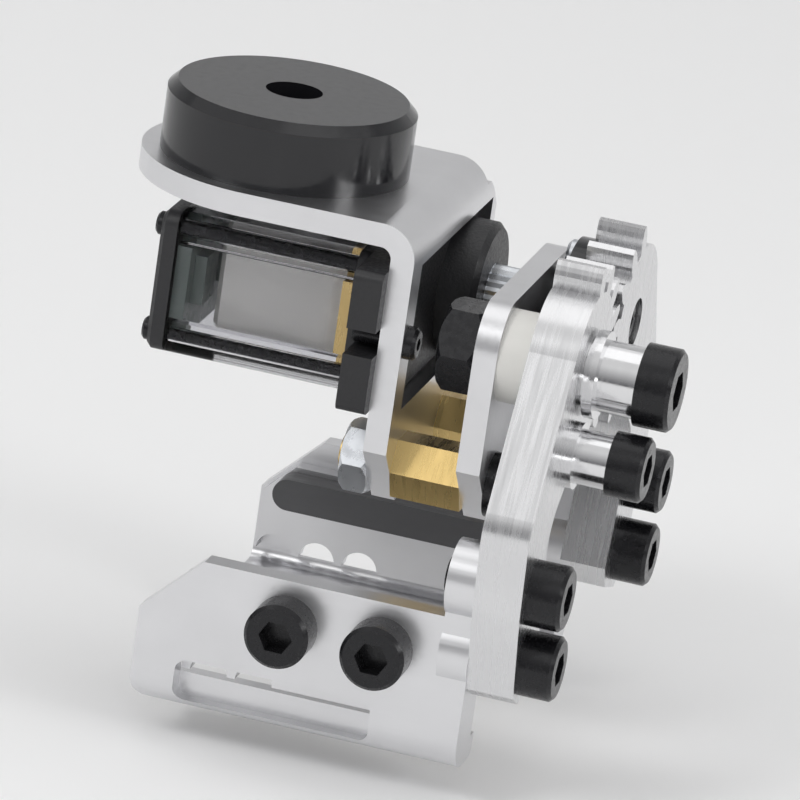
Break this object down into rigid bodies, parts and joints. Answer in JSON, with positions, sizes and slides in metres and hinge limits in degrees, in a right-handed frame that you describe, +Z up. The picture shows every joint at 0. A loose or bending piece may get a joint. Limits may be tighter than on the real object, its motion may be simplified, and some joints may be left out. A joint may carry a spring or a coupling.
{
  "type": "robot gripper claw",
  "caption": "Gripper claw for a small robot arm: a servo turns geared fingers that swing folded jaws together.",
  "frame": {"origin": "centre of the wrist hub's top face, at the mouth of its bore", "axes": "+Z up along the wrist axis, +X along the servo's output shaft, -Y the near side"},
  "size_m": [0.0495, 0.044, 0.049],
  "materials": {
    "hub_black": "black moulded plastic with a soft sheen",
    "aluminium_sheet": "satin brushed sheet",
    "aluminium_milled": "milled, with fine feed marks",
    "case_black": "black moulded plastic",
    "case_clear": "clear smoke-grey plastic",
    "motor_can": "pale nickel-plated steel",
    "white_plastic": "white nylon",
    "brass": "turned brass",
    "board_green": "varnished circuit board",
    "black_oxide": "black oxide steel",
    "steel": "bright zinc-plated steel",
    "polished_steel": "polished turned steel",
    "bar_grey": "dark grey hard-coated bar",
    "rubber": "black rubber"
  },
  "bodies": {
    "claw_frame": {"wrist_horn": "hub_black", "wrist_horn_screws": "black_oxide", "base_bracket": "aluminium_sheet", "servo_lower_cover": "case_black", "servo_middle_case": "case_clear", "servo_upper_case": "case_black", "servo_case_screws": "steel", "servo_motor": "motor_can", "servo_motor_endcap": "white_plastic", "servo_gear_plate": "brass", "servo_sensor": "case_black", "servo_board": "board_green", "servo_cord_gland": "rubber", "servo_tab_screws": "steel", "front_plate_standoffs": "brass", "standoff_nuts": "steel", "front_plate_screws": "black_oxide", "front_plate": "aluminium_sheet", "pivot_sleeve": "polished_steel", "pivot_spacer": "white_plastic", "pivot_screw": "black_oxide", "pivot_nut": "black_oxide"},
    "driven_finger_body": {"output_shaft": "steel", "drive_horn": "hub_black", "driven_finger": "aluminium_milled", "driven_jaw": "aluminium_sheet", "driven_grip_plate": "aluminium_sheet", "driven_grip_bar": "bar_grey", "driven_jaw_screws": "black_oxide", "driven_finger_screws": "black_oxide", "horn_centre_screw": "black_oxide", "horn_tie_screws": "steel"},
    "follower_finger_body": {"follower_finger": "aluminium_milled", "follower_jaw": "aluminium_sheet", "follower_grip_plate": "aluminium_sheet", "follower_grip_bar": "bar_grey", "follower_jaw_screws": "black_oxide", "follower_finger_screws": "black_oxide", "follower_post": "polished_steel", "follower_post_screw": "black_oxide"}
  },
  "joints": [
    {"name": "driven_finger_swing", "type": "hinge", "parent": "claw_frame", "child": "driven_finger_body", "pos_m": [0.026, 0.008, -0.016], "axis": [1, 0, 0], "range_deg": [-22, 16]},
    {"name": "follower_finger_swing", "type": "hinge", "parent": "claw_frame", "child": "follower_finger_body", "pos_m": [0.026, -0.008, -0.016], "axis": [1, 0, 0], "range_deg": [-16, 22]}
  ],
  "couplings": [
    {"joint": "follower_finger_swing", "follows": "driven_finger_swing", "ratio": -1}
  ]
}
